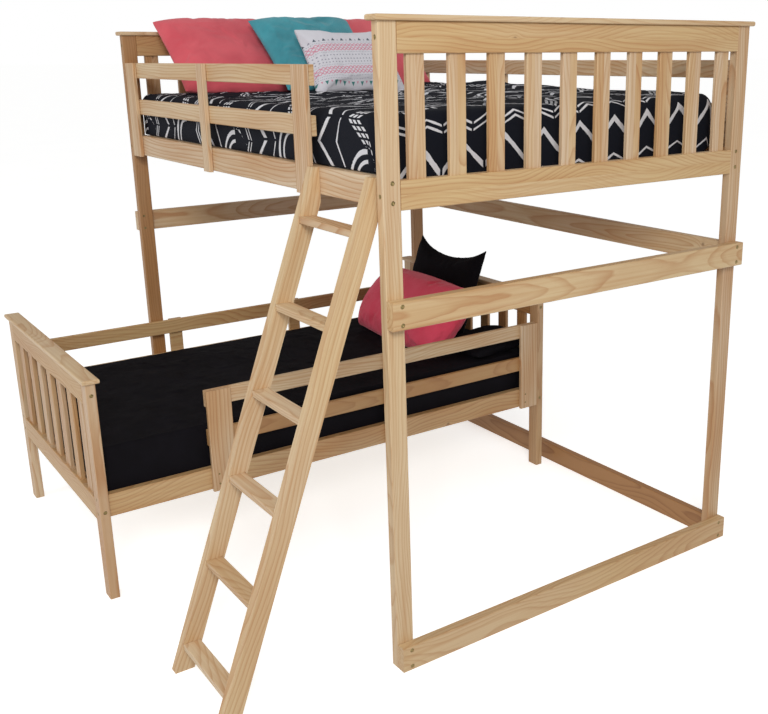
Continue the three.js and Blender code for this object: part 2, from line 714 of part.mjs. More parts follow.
function loftBedding() {
  const made = madeBed(LOFT, LOFT_BEDDING, COMFORTER);
  const nextPlace = { ...PAIR_PLACE, fromEdge: PAIR_PLACE.fromEdge + STANDARD.wide + PAIR_GAP };
  const pair = [
    laidPillow(made, "coral_entry", STANDARD, PAIR_PLACE, coralCotton),
    laidPillow(made, "coral_wall", STANDARD, nextPlace, coralCotton),
  ];
  const teal = laidPillow(made, "teal", SQUARE, SQUARE_PLACE, tealCotton, pair);
  const behind = [...pair, teal];
  const patterned = laidPillow(made, "patterned", LUMBAR, LUMBAR_PLACE, whiteCotton, behind);
  return [made.group, ...behind, patterned];
}

function twinBedding(headCap) {
  const made = madeBed(TWIN, TWIN_BEDDING, BLANKET);
  const low = laidPillow(made, "black_low", SMALL, SMALL_PLACE, blackCotton);
  const propped = [low, headCap];
  const black = laidPillow(made, "black_upright", UPRIGHT, UPRIGHT_PLACE, blackCotton, propped);
  const coral = laidPillow(made, "coral", LARGE, LARGE_PLACE, coralCotton, [low, black]);
  return [made.group, low, black, coral];
}

// The two beds in place
const frontReach = TWIN_STANDS_OUT + CAP_LIP;
const backReach = LOFT.wide + CAP_LIP;
const loftFront = (frontReach - backReach) / 2;

const loft = new THREE.Group();
loft.add(bedFrame(LOFT), lowRails(), ladder(), ...loftBedding());
loft.position.y = loftFront + LOFT.wide / 2;

const twinFrame = bedFrame(TWIN);
const twin = new THREE.Group();
twin.add(twinFrame, ...twinBedding(twinFrame.getObjectByName("twin_cap_head")));
twin.rotation.z = -Math.PI / 2;
twin.position.x = TWIN.wide / 2 + TWIN_SIDE_GAP + POST_THICK - LOFT.long / 2;
twin.position.y = loftFront - TWIN_STANDS_OUT + TWIN.long / 2;

const bed = new THREE.Group();
bed.add(loft, twin);

export default bed;
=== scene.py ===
"""A made-up pine loft bed with a leaning ladder, over a lower bed set crossways.

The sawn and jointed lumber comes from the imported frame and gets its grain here. The bolts, the
bedding and the pillows are made here. Lengths are metres in the frame's own axes: +X runs along
the loft from the pillows to the end panel beside the ladder, -Y is the ladder side, +Z is up.
"""

import math

import bpy
import numpy as np
from mathutils import Matrix, Vector


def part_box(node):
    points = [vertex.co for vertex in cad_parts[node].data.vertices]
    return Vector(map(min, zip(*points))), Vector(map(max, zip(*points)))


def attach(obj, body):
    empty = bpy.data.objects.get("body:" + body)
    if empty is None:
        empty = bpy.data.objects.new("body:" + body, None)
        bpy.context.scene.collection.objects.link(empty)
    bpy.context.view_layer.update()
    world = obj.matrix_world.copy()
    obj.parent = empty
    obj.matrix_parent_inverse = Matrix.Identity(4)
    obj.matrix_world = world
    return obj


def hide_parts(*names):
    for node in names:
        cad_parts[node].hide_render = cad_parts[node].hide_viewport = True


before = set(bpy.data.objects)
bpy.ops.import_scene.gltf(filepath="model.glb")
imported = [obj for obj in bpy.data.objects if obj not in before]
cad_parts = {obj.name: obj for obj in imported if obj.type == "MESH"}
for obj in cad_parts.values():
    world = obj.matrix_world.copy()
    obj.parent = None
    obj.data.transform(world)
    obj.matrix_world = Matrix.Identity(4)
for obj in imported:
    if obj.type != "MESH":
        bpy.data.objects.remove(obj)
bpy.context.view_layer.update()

MM = 0.001


def corners(node):
    """The lowest and highest corner of a node's box."""
    low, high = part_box(node)
    return np.array(low), np.array(high)


def centre_of(node):
    return np.mean(corners(node), axis=0)


# Node trees


class Look:
    """A material under construction. Each method adds a node and returns what it gives out."""

    # For each kind of value: a mix node's two inputs and its output.
    MIX_SOCKETS = {"FLOAT": (2, 3, 0), "VECTOR": (4, 5, 1), "RGBA": (6, 7, 2)}

    def __init__(self, name):
        self.material = bpy.data.materials.new(name)
        self.material.use_nodes = True
        self.tree = self.material.node_tree
        self.shader = self.tree.nodes["Principled BSDF"]

    def add(self, kind, *inputs, **settings):
        node = self.tree.nodes.new(kind)
        for key, value in settings.items():
            setattr(node, key, value)
        for socket, value in zip(node.inputs, inputs):
            self.feed(socket, value)
        return node

    def feed(self, socket, value):
        if isinstance(value, bpy.types.NodeSocket):
            self.tree.links.new(value, socket)
        elif value is not None:
            socket.default_value = value

    def fill(self, node, values):
        """Feeds the named sockets."""
        for name, value in values.items():
            self.feed(node.inputs[name], value)
        return node.outputs

    def place(self):
        """The point of the object that is being coloured."""
        return self.add("ShaderNodeTexCoord").outputs["Object"]

    def math(self, operation, *values):
        return self.add("ShaderNodeMath", *values, operation=operation).outputs[0]

    def plus(self, one, other):
        return self.math("ADD", one, other)

    def times(self, one, other):
        return self.math("MULTIPLY", one, other)

    def scaled(self, value, scale, start):
        """start + scale * value"""
        return self.math("MULTIPLY_ADD", value, scale, start)

    def less(self, value, limit):
        return self.math("LESS_THAN", value, limit)

    def more(self, value, limit):
        return self.math("GREATER_THAN", value, limit)

    def vector(self, operation, *values):
        return self.add("ShaderNodeVectorMath", *values, operation=operation).outputs[0]

    def combine(self, x=0.0, y=0.0, z=0.0):
        return self.add("ShaderNodeCombineXYZ", x, y, z).outputs[0]

    def split(self, vector):
        return self.add("ShaderNodeSeparateXYZ", vector).outputs

    def split_colour(self, colour):
        return self.add("ShaderNodeSeparateColor", colour).outputs

    def stretch(self, vector, x, y, z):
        return self.vector("MULTIPLY", vector, (x, y, z))

    def noise(self, vector, scale=1.0, detail=2.0, roughness=0.5):
        values = {"Vector": vector, "Scale": scale, "Detail": detail, "Roughness": roughness}
        return self.fill(self.add("ShaderNodeTexNoise"), values)

    def ramp(self, factor, *stops):
        """Goes through the (place, value) stops in straight lines."""
        node = self.add("ShaderNodeValToRGB", factor)
        while len(node.color_ramp.elements) < len(stops):
            node.color_ramp.elements.new(0.5)
        for element, (place, value) in zip(node.color_ramp.elements, stops):
            element.position = place
            element.color = (value, value, value, 1)
        return node.outputs[0]

    def mix(self, factor, first, second, kind="RGBA"):
        one, other, out = self.MIX_SOCKETS[kind]
        node = self.add("ShaderNodeMix", data_type=kind)
        return self.fill(node, {0: factor, one: first, other: second})[out]

    def hump(self, distance, reach):
        """1 at no distance, falling smoothly to nothing: e ^ -(distance / reach)^2."""
        square = self.math("POWER", self.math("DIVIDE", distance, reach), 2.0)
        return self.math("EXPONENT", self.times(square, -1.0))

    def radius(self, one, other):
        """The length of the two sides' diagonal."""
        squares = [self.math("POWER", side, 2.0) for side in (one, other)]
        return self.math("SQRT", self.plus(*squares))

    def surface(self, colour, roughness, height=None, relief=1 * MM, sheen=0.0, metallic=0.0,
                gloss=0.5):
        """Fills the shader, with bumps as high as the relief where the height is 1."""
        self.fill(self.shader, {
            "Base Color": colour, "Roughness": roughness, "Metallic": metallic,
            "Sheen Weight": sheen, "Specular IOR Level": gloss,
        })
        if height is not None:
            bump = self.fill(self.add("ShaderNodeBump"), {"Distance": relief, "Height": height})
            self.fill(self.shader, {"Normal": bump[0]})
        return self.material


def rgb(red, green, blue):
    """A colour given as screen values from 0 to 255, as the linear values a socket takes."""
    channels = [c / 255 for c in (red, green, blue)]
    return (*(c / 12.92 if c < 0.04 else ((c + 0.055) / 1.055) ** 2.4 for c in channels), 1)


# Pine

YELLOW_PINE = rgb(219, 190, 138)
PALE_PINE = rgb(224, 203, 172)
LATE_WOOD = rgb(182, 127, 77)
HEARTWOOD = rgb(190, 140, 84)
# The dark brown that the heart value darkens toward: old heartwood, and painted shade on boards in
# shade.
OLD_WOOD_AND_SHADE = rgb(126, 80, 42)
KNOT_WOOD = rgb(122, 84, 52)
# The knots: the width of the cells that may hold one, the lot past which a cell has one, and
# how wide one is.
KNOT_ROOM = 0.27
KNOT_LOT = 0.93
KNOT_RADIUS = 6 * MM
# What moves the rings: how far the pith strays across the face and in depth, and how much the
# ripples, the uneven years and a knot add to a ring's radius.
PITH_STRAY = 0.16
PITH_STRAY_DEEP = 0.20
RIPPLE = 11 * MM
UNEVEN_YEARS = 17 * MM
KNOT_BEND = 13 * MM
KNOT_BEND_REACH = 20 * MM
GRAIN_RELIEF = 0.25 * MM
# How far apart in the log two boards' parts lie, for each step of the seed or the number.
SEED_STEP = 3.7
NUMBER_STEP = 1.93


def board_space(look, place, axes, centre, seed):
    """Turns object coordinates into a board's own: x along its length, y across its face and
    z through its thickness, measured from its centre and moved to its own part of the log."""
    sides = look.split(place)
    along, across, depth = ("XYZ".index(letter) for letter in axes)
    own = look.combine(sides[along], sides[across], sides[depth])
    shift = (SEED_STEP * seed - centre[along], -centre[across], -centre[depth])
    return look.vector("ADD", own, shift)


def knots(look, along, across):
    """Round marks where branches left the trunk. The face is cut into cells, and one cell in
    fourteen has a knot at its centre. Gives the distance from the nearest centre and 1 in a cell
    that has a knot."""
    cells = look.add("ShaderNodeTexVoronoi", voronoi_dimensions="2D")
    found = look.fill(cells, {"Vector": look.combine(along, across), "Scale": 1 / KNOT_ROOM})
    gap = look.times(found["Distance"], KNOT_ROOM)
    lot = look.split_colour(found["Color"])[0]
    return gap, look.more(lot, KNOT_LOT)


def pine(look, board, pith, spacing, pale, chance, heart_and_shade, restless, knotty=True):
    """Planed pine. Growth rings are circles round a pith line that wanders along the board:
    ring = fraction((distance from the pith + ripples) / spacing). A ring is pale, darkens to
    its late wood and starts again. Rings bend round a knot. From 0 to 1, pale is how little
    yellow the board has, the chance sets how strongly it is marked and the heart value is how
    much of it is brown heartwood, together with painted shade that darkens boards in shade
    toward old wood. The pith wanders as far as restless says."""
    along, across, depth = look.split(board)
    slow = look.combine(look.times(along, 1.25))
    wander = look.split_colour(look.noise(slow, detail=1.0)[1])
    side = look.scaled(wander[0], PITH_STRAY, -PITH_STRAY / 2)
    side = look.scaled(side, restless, pith[0])
    deep = look.scaled(wander[1], PITH_STRAY_DEEP, -PITH_STRAY_DEEP / 2)
    deep = look.scaled(deep, restless, pith[1])
    from_pith = look.radius(look.plus(across, side), look.plus(depth, deep))
    ripples = look.noise(look.stretch(board, 5.0, 24.0, 24.0))[0]
    gap, knotted = knots(look, along, across)
    knotted = look.times(knotted, float(knotty))
    bend = look.times(look.hump(gap, KNOT_BEND_REACH), knotted)
    reach = look.scaled(ripples, RIPPLE, from_pith)
    reach = look.scaled(bend, KNOT_BEND, reach)
    uneven = look.noise(look.combine(look.times(reach, 38.0)), detail=0.0)[0]
    reach = look.scaled(uneven, UNEVEN_YEARS, reach)
    ring = look.math("FRACT", look.math("DIVIDE", reach, spacing))
    late = look.ramp(ring, (0.0, 0.04), (0.5, 0.10), (0.78, 0.60), (0.92, 1.0), (1.0, 0.04))

    patches = look.noise(look.stretch(board, 1.7, 9.0, 9.0))[0]
    streaks = look.noise(look.stretch(board, 1.3, 85.0, 85.0))[0]
    fibres = look.noise(look.stretch(board, 7.0, 420.0, 420.0), detail=3.0, roughness=0.6)[0]
    flecks = look.noise(look.stretch(board, 30.0, 900.0, 900.0))[0]
    drift = look.scaled(wander[2], 1.5, -0.75)
    colour = look.mix(look.plus(pale, drift), YELLOW_PINE, PALE_PINE)
    tinted = look.scaled(chance, 0.9, 0.3)
    warm = look.times(look.ramp(patches, (0.40, 0.0), (0.70, 0.60)), tinted)
    # The heart value browns the board toward heartwood: real heartwood, and painted shade on
    # boards that stand in shade.
    warm = look.plus(warm, heart_and_shade)
    colour = look.mix(warm, colour, HEARTWOOD)
    colour = look.mix(look.ramp(streaks, (0.42, 0.0), (0.72, 0.45)), colour, HEARTWOOD)
    # Painted shade together with old heartwood: the heart value darkens the board and its
    # late-wood lines toward old wood.
    colour = look.mix(look.times(heart_and_shade, 0.38), colour, OLD_WOOD_AND_SHADE)
    marked = look.times(late, look.ramp(patches, (0.25, 0.5), (0.65, 1.0)))
    marked = look.times(marked, look.scaled(chance, 0.45, 0.55))
    line = look.mix(look.times(heart_and_shade, 0.9), LATE_WOOD, OLD_WOOD_AND_SHADE)
    colour = look.mix(marked, colour, line)
    colour = look.mix(look.ramp(fibres, (0.35, 0.14), (0.65, 0.0)), colour, LATE_WOOD)
    colour = look.mix(look.ramp(flecks, (0.68, 0.0), (0.74, 0.30)), colour, KNOT_WOOD)
    dark = look.times(look.hump(gap, KNOT_RADIUS), knotted)
    colour = look.mix(look.times(dark, 0.8), colour, KNOT_WOOD)
    roughness = look.scaled(late, 0.10, 0.48)
    height = look.scaled(fibres, 0.5, look.times(late, 0.5))
    return look.surface(colour, roughness, height, GRAIN_RELIEF)


def grain_of(node):
    """The board's axes from its box: longest side first, thinnest last, and its centre."""
    low, high = corners(node)
    order = np.argsort(low - high)
    return "".join("XYZ"[i] for i in order), centre_of(node)


def seed_of(name):
    """A number from 0 to 7 that differs from node to node."""
    return (sum(ord(c) * (i + 3) for i, c in enumerate(name)) * 0.37) % 7.0


def give(node, material):
    """Puts a material on a node of the frame."""
    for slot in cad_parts[node].material_slots:
        slot.material = material


# Where the pith lies from a board's centre, across its face and behind it: beside the face for
# arches, and far off for straight lines.
PITHS = [(0.01, 0.055), (0.05, 0.075), (0.12, 0.02), (-0.02, 0.09), (-0.10, 0.03)]
STRAIGHT = [(0.12, 0.02), (-0.10, 0.03), (0.10, 0.05)]
ARCHED = [(0.0, 0.05)]
STILE_PITH = (0.10, 0.04)
TWO_WAY_PITH = (0.0, 0.05)
GOLDEN = 0.618
# Boards that are browner and darker than the rest: how much heartwood and painted shade each has.
# The boards under the loft deck, on the wall side and at the head end carry most of this painted
# shade.
HEART_AND_SHADE = {
    "loft_floor_rail_wall": 1.0, "loft_floor_rail_head": 0.8, "loft_floor_rail_foot": 0.15,
    "loft_slat_deck": 1.0, "loft_side_rail_wall": 0.6, "loft_post_head_entry": 0.85,
    "loft_post_head_wall": 0.9, "loft_post_foot_wall": 0.2, "loft_panel_head": 0.3,
    "loft_panel_foot": 0.08, "ladder_tread_2": 0.15, "twin_guard_entry_mid_rail": 0.6,
    "twin_guard_entry_foot_board": 0.15, "twin_side_rail_entry": 0.25, "twin_panel_foot": 0.3,
    "twin_panel_head": 0.8, "twin_post_head_entry": 0.45, "twin_post_foot_entry": 0.2,
    "twin_guard_wall": 0.15,
}
# Boards that are paler or yellower than the rest of their kind: 1 is pale.
PALE = {
    "loft_post_foot_entry": 0.5, "loft_side_rail_entry": 1.0, "loft_mid_rail_head": 0.6,
    "loft_mid_rail_wall": 0.5, "loft_guard_wall": 1.0, "loft_guard_entry_foot_board": 1.0,
    "loft_guard_entry_middle_board": 1.0, "loft_guard_entry_top_rail": 0.5,
    "loft_guard_entry_mid_rail": 0.6, "twin_guard_entry_top_rail": 0.6,
    "twin_guard_entry_mid_rail": 0.0,
}


def plain_board(node):
    """A board whose grain runs along its longest side."""
    axes, centre = grain_of(node)
    seed = seed_of(node)
    chance = seed % 1.0
    look = Look(f"pine_{node}")
    board = board_space(look, look.place(), axes, centre, seed)
    upright = "post" in node or node.endswith("board")
    arched = "mid_rail" in node and "loft_guard" not in node
    piths = STRAIGHT if upright else ARCHED if arched else PITHS
    pith = piths[int(seed * 5) % len(piths)]
    pale = PALE.get(node, 0.25 if "_rail_" in node else 0.6 + 0.3 * chance)
    restless = 1.5 if "twin_side" in node else 0.6 if upright or arched else 1.0
    give(node, pine(look, board, pith, (9 + 5 * chance) * MM, pale, chance,
                    HEART_AND_SHADE.get(node, 0.0), restless, not upright))


def leaning_board(node, lean):
    """A stile's grain runs up its own slope, so the place is turned back by its lean first."""
    centre = centre_of(node)
    look = Look(f"pine_{node}")
    turned = look.add("ShaderNodeVectorRotate", look.place(), rotation_type="X_AXIS")
    place = look.fill(turned, {"Center": tuple(centre), "Angle": lean})[0]
    board = board_space(look, place, "ZYX", centre, seed_of(node))
    give(node, pine(look, board, STILE_PITH, 13 * MM, pale=0.5, chance=0.3, heart_and_shade=0.0,
                    restless=0.7, knotty=False))


def two_way_boards(node, rails, slats, is_rail):
    """Rails and slats in one node. The test is_rail tells them apart by their place. Rails and
    slats are each given as (axes, pitch): each has its own grain direction, and its own part
    of the log, by its number: floor(place across / pitch + 1/2), and its chance: the fraction
    of the number times the golden ratio."""
    centre = centre_of(node)
    seed = seed_of(node)
    look = Look(f"pine_{node}")
    place = look.place()
    sides = look.split(place)

    def numbered(axes, pitch):
        across = "XYZ".index(axes[1])
        middle = look.math("SUBTRACT", sides[across], float(centre[across]))
        number = look.math("FLOOR", look.scaled(middle, 1 / pitch, 0.5))
        chance = look.math("FRACT", look.scaled(number, GOLDEN, seed))
        own = board_space(look, place, axes, centre, seed)
        moved_across = look.scaled(chance, 0.10, -0.02)
        jump = look.combine(
            look.times(number, NUMBER_STEP),
            look.scaled(number, -pitch, moved_across),
            look.times(chance, 0.02),
        )
        return look.vector("ADD", own, jump), chance

    test = is_rail(look, sides)
    (slat, slat_chance), (rail, rail_chance) = numbered(*slats), numbered(*rails)
    chosen = look.mix(test, slat, rail, "VECTOR")
    chance = look.mix(test, slat_chance, rail_chance, "FLOAT")
    slat_pale = look.scaled(slat_chance, -0.7, 1.0)
    pale = look.mix(test, slat_pale, PALE.get(node, 0.0), "FLOAT")
    restless = look.mix(test, 0.7, 1.9, "FLOAT")
    give(node, pine(look, chosen, TWO_WAY_PITH, 11 * MM, pale, chance, HEART_AND_SHADE.get(node, 0.0),
                    restless))


def beyond(axis, level):
    """1 where the place is past a level along an axis."""
    return lambda look, sides: look.more(sides["XYZ".index(axis)], level)


def below(axis, level):
    """1 where the place is short of a level along an axis."""
    return lambda look, sides: look.less(sides["XYZ".index(axis)], level)


def outside(axis, low, high):
    """1 where the place lies outside the span from low to high."""
    tests = below(axis, low), beyond(axis, high)
    return lambda look, sides: look.math("MAXIMUM", *(test(look, sides) for test in tests))


RAIL_HIGH = 82 * MM
SLAT_PITCH = 138 * MM
DECK_PITCH = 150 * MM
BOARD_THICK = 15.7 * MM
GUARD_FACE = 12.5 * MM
LADDER_LEAN = math.radians(20.3)
JOINTED = ("panel", "guard_wall", "slat_deck")
SOFT = ("mattress", "comforter", "blanket")
LUMBER = [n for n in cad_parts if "_pillow_" not in n and not n.endswith(SOFT)]

for lumber in LUMBER:
    if lumber.startswith("ladder_stile"):
        leaning_board(lumber, LADDER_LEAN)
    elif not any(word in lumber for word in JOINTED):
        plain_board(lumber)

for bed, across, along in (("loft", "Y", "X"), ("twin", "X", "Y")):
    for end in ("head", "foot"):
        low, high = corners(f"{bed}_panel_{end}")
        rails = outside("Z", low[2] + RAIL_HIGH, high[2] - RAIL_HIGH)
        two_way_boards(f"{bed}_panel_{end}", (f"{across}Z{along}", 0.41),
                       (f"Z{across}{along}", SLAT_PITCH), rails)
    high = corners(f"{bed}_slat_deck")[1]
    two_way_boards(f"{bed}_slat_deck", (f"{along}Z{across}", 2.0),
                   (f"{across}{along}Z", DECK_PITCH), below("Z", high[2] - BOARD_THICK))

low, high = corners("loft_guard_wall")
two_way_boards("loft_guard_wall", ("XZY", 0.147), ("ZXY", 0.64), below("Y", high[1] - GUARD_FACE))
low, high = corners("twin_guard_wall")
two_way_boards("twin_guard_wall", ("YZX", 0.149), ("ZYX", 0.60), beyond("X", low[0] + GUARD_FACE))


# Metal


def aged_brass():
    """Brass plating gone brown in its hollows: brown-gold, brighter where it has been rubbed."""
    look = Look("aged_brass")
    cloud = look.noise(look.place(), 420.0, 3.0)[0]
    rubbed = look.ramp(cloud, (0.3, 0.0), (0.7, 1.0))
    colour = look.mix(rubbed, rgb(104, 92, 60), rgb(168, 148, 98))
    roughness = look.scaled(cloud, 0.3, 0.22)
    return look.surface(colour, roughness, cloud, 0.05 * MM, metallic=0.8)


BRASS = aged_brass()


# Meshes


def placed(name, data):
    """A new object in the scene."""
    thing = bpy.data.objects.new(name, data)
    bpy.context.scene.collection.objects.link(thing)
    return thing


def mesh_piece(name, points, faces, material, body):
    """A piece of the given points and faces, smooth all over."""
    mesh = bpy.data.meshes.new(name)
    mesh.from_pydata(np.asarray(points, float).reshape(-1, 3).tolist(), [], faces)
    mesh.update()
    mesh.materials.append(material)
    mesh.polygons.foreach_set("use_smooth", np.ones(len(mesh.polygons), bool))
    piece = placed(name, mesh)
    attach(piece, body)
    return piece


def capped(rings, count, first=0):
    """Faces over a stack of closed rings: a quad between each pair of neighbours, and one face
    over the first ring and one over the last."""
    here = first + np.arange(rings - 1)[:, None] * count + np.arange(count)
    beside = first + np.arange(rings - 1)[:, None] * count + (np.arange(count) + 1) % count
    quads = np.stack([here, here + count, beside + count, beside], -1).reshape(-1, 4)
    start = first + np.arange(count)
    end = (start + (rings - 1) * count)[::-1]
    return quads.tolist() + [start.tolist(), end.tolist()]


# What is turned for a bolt head, a barrel nut and a screw head: (distance from the axis,
# height over its seat) in mm, from the floor of its socket outwards.
HEAD_TURNING = [
    (2.4, 1.2), (2.7, 3.0), (3.6, 3.4), (5.6, 3.0), (6.5, 2.2), (6.8, 1.0), (6.8, -0.2),
]
NUT_TURNING = [(2.2, 0.4), (2.4, 1.3), (4.6, 1.3), (5.0, 0.9), (5.0, -1.0)]
SCREW_TURNING = [(1.4, 0.3), (1.7, 0.9), (3.4, 0.7), (3.8, -0.2)]


def turned_heads(name, places, turning, body, sides=18):
    """Copies of one turned head. A profile of (radius, height) is carried round the axis:
    point = place + height * outward + radius * (cos a * across + sin a * up). The socket in
    the middle is six-sided: its radius is divided by cos(a mod 60 degrees - 30 degrees)."""
    profile = np.array(turning) * MM
    angle = np.arange(sides) * 2 * math.pi / sides
    hexagon = math.cos(math.pi / 6) / np.cos(np.mod(angle, math.pi / 3) - math.pi / 6)
    shape = np.where(np.arange(len(profile))[:, None] < 2, hexagon, 1.0)
    radius = profile[:, :1] * shape
    up = np.array((0.0, 0.0, 1.0))
    points, faces = [], []
    for number, (place, out) in enumerate(places):
        ring = np.cos(angle)[:, None] * np.cross(up, out) + np.sin(angle)[:, None] * up
        points.append(place + profile[:, 1][:, None, None] * out + radius[..., None] * ring)
        faces += capped(len(profile), sides, number * len(profile) * sides)
    mesh_piece(name, np.concatenate(points), faces, BRASS, body)


SEAT_DEEP = 4 * MM
BOLT_SPREAD = 54 * MM
LIFT = 0.3 * MM
SUNK = SEAT_DEEP - LIFT
NUT_ASIDE = 14 * MM
SCREW_SPREAD = 38 * MM
SCREW_INSETS = {"foot": 24 * MM, "middle": 28 * MM, "head": 24 * MM}


def bolts_of_bed(bed, end_axis, side_axis):
    """Bolt places on a bed's four posts: one through each post's side into each end panel
    rail, and two through its end into each side rail."""
    places = []
    panel_low, panel_high = corners(f"{bed}_panel_head")
    panel_heights = [panel_low[2] + RAIL_HIGH / 2, panel_high[2] - RAIL_HIGH / 2]
    rail_z = centre_of(f"{bed}_side_rail_entry")[2]
    rail_heights = [rail_z - BOLT_SPREAD / 2, rail_z + BOLT_SPREAD / 2]
    bed_centre = (corners(f"{bed}_cap_head")[0] + corners(f"{bed}_cap_foot")[1]) / 2
    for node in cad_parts:
        if not node.startswith(f"{bed}_post"):
            continue
        low, high = corners(node)
        middle = centre_of(node)
        rail = centre_of(f"{bed}_side_rail_" + node.split("_")[-1])
        for axis, heights in ((side_axis, panel_heights), (end_axis, rail_heights)):
            out = np.zeros(3)
            out[axis] = np.sign(middle[axis] - bed_centre[axis])
            for z in heights:
                place = middle.copy()
                if axis == end_axis:
                    place[side_axis] = rail[side_axis]
                place[axis] = (high if out[axis] > 0 else low)[axis]
                place[2] = z
                places.append((place - out * SUNK, out))
    return places


def bolts_of_outer_rails():
    """Heads on the outer faces of the mid and floor rails, and the nuts behind the posts."""
    heads, nuts = [], []
    lines = [centre_of(f"loft_side_rail_{side}")[1] for side in ("entry", "wall")]
    for end, outward in (("head", -1.0), ("foot", 1.0)):
        low, high = corners(f"loft_mid_rail_{end}")
        post_low, post_high = corners(f"loft_post_{end}_entry")
        face = high[0] if outward > 0 else low[0]
        behind = post_low[0] if outward > 0 else post_high[0]
        out = np.array((outward, 0.0, 0.0))
        for rail in ("mid", "floor"):
            z = centre_of(f"loft_{rail}_rail_{end}")[2]
            for height in (z - BOLT_SPREAD / 2, z + BOLT_SPREAD / 2):
                heads += [(np.array((face, line, height)) - out * SUNK, out) for line in lines]
                nuts.append((np.array((behind, lines[0] - NUT_ASIDE, height)) - out * LIFT, -out))
    return heads, nuts


def screws_of_lower_guard():
    """Two screws through each board of the entry guard into the lower bed's side rail."""
    places = []
    out = np.array((1.0, 0.0, 0.0))
    z = centre_of("twin_side_rail_entry")[2]
    for board, inset in SCREW_INSETS.items():
        low, high = corners(f"twin_guard_entry_{board}_board")
        for height in (z - SCREW_SPREAD / 2, z + SCREW_SPREAD / 2):
            places.append((np.array((high[0] + LIFT, low[1] + inset, height)), out))
    return places


outer_heads, outer_nuts = bolts_of_outer_rails()
turned_heads("loft_bolts", bolts_of_bed("loft", 0, 1) + outer_heads, HEAD_TURNING, "loft")
turned_heads("loft_nuts", outer_nuts, NUT_TURNING, "loft")
turned_heads("lower_bed_bolts", bolts_of_bed("twin", 1, 0), HEAD_TURNING, "lower_bed")
turned_heads("lower_bed_screws", screws_of_lower_guard(), SCREW_TURNING, "lower_bed", 12)


# Cloth finishes


THREAD = 1.1 * MM
WEAVE_RELIEF = 0.15 * MM


def weave(look, place):
    """Crossed threads: the product of two sine waves, one thread apart, with uneven slubs."""
    u, v, w = look.split(place)
    turn = math.pi / THREAD
    first = look.math("SINE", look.times(look.plus(u, w), turn))
    second = look.math("SINE", look.times(look.plus(v, w), turn))
    slubs = look.noise(look.stretch(place, 900.0, 240.0, 900.0))[0]
    return look.plus(look.times(first, second), slubs)


def plain_cotton(name, colour, shade, sheen=0.2, gloss=0.5):
    """Plain weave in one dye, a little uneven over hand-sized patches."""
    look = Look(name)
    place = look.place()
    cloud = look.noise(place, 9.0, 3.0)[0]
    speck = look.noise(place, 700.0)[0]
    dyed = look.mix(look.ramp(cloud, (0.35, 0.0), (0.7, 1.0)), colour, shade)
    dyed = look.mix(look.ramp(speck, (0.45, 0.14), (0.7, 0.0)), dyed, shade)
    return look.surface(dyed, 0.92, weave(look, place), WEAVE_RELIEF, sheen, gloss=gloss)


def stroke(look, distance, width, wobble):
    """1 within a brush stroke: where the distance plus a wobble is less than half its width."""
    return look.less(look.plus(distance, wobble), width / 2)


def triangle_wave(look, along, period):
    """Goes from 0 up to 1 and back to 0 over each period."""
    return look.times(look.math("PINGPONG", along, period / 2), 2 / period)


def off_zigzag(look, across, along, centre, swing, period):
    """How far a place is from a zigzag line, across it:
    (across - centre - swing * (2 * triangle wave - 1)) * cos(slope)."""
    slope = 4 * swing / period
    wave = triangle_wave(look, along, period)
    line = look.scaled(wave, 2 * swing, centre - swing)
    return look.math("DIVIDE", look.math("SUBTRACT", across, line), math.hypot(1, slope)), wave


def zigzag(look, across, along, centre, swing, period, width, wobble):
    """Straight strokes that meet at points, each short of the next by a small gap."""
    off, wave = off_zigzag(look, across, along, centre, swing, period)
    line = stroke(look, look.math("ABSOLUTE", off), width, wobble)
    return look.times(line, look.less(wave, 0.94))


def ladder(look, across, along, centre, swing, period, columns, wobble):
    """Short dashes in a few columns side by side, which all follow one zigzag line."""
    half_column, half_dash, half_gap, half_line = 7.5 * MM, 9 * MM, 3.4 * MM, 3.0 * MM
    off, _ = off_zigzag(look, across, along, centre, swing, period)
    beside = look.math("PINGPONG", look.plus(off, columns * half_column), half_column)
    inside = stroke(look, look.math("ABSOLUTE", off), columns * 2 * half_column, 0.0)
    dash = look.more(look.math("PINGPONG", along, half_dash), half_gap)
    column = look.more(look.plus(beside, wobble), half_line)
    return look.times(look.times(inside, dash), column)


def arcs(look, over, from_centre, radius, width, wobble):
    """Half circles in a row: |distance from the nearest centre - radius|, on one side only."""
    off = look.math("ABSOLUTE", look.math("SUBTRACT", from_centre, radius))
    line = stroke(look, off, width, wobble)
    return look.times(line, look.less(over, 0.0))


# The print's repeat along the bed, where it starts, how much its bands lean, and how far every
# second repeat is moved along them.
PRINT_REPEAT = 0.453
PRINT_START = 8.942
PRINT_SKEW = 0.077
PRINT_DROP = -0.056
# Its zigzags: the place in the repeat, the swing, the period along the band, the stroke's width.
BOLD_ZIGZAG = (0.062, 0.040, 0.152, 14 * MM)
FINE_ZIGZAGS = [
    (0.156, 0.018, 0.152, 7 * MM), (0.410, 0.013, 0.105, 6 * MM), (0.429, 0.013, 0.105, 6 * MM),
]
# Its dashes: the place in the repeat, the swing, the period and the columns.
DASHES = (0.307, 0.070, 0.260, 3)
DASH_START = 0.162
# Its arcs: their centres' place in the repeat and along the band, and the room they keep clear.
# Then each arc's radius and width.
ARC_PLACE, ARC_START, ARC_PERIOD, ARC_ROOM = 0.303, 0.358, 0.260, 0.118
BOLD_ARC = (0.104, 13 * MM)
FINE_ARC = (0.074, 11 * MM)


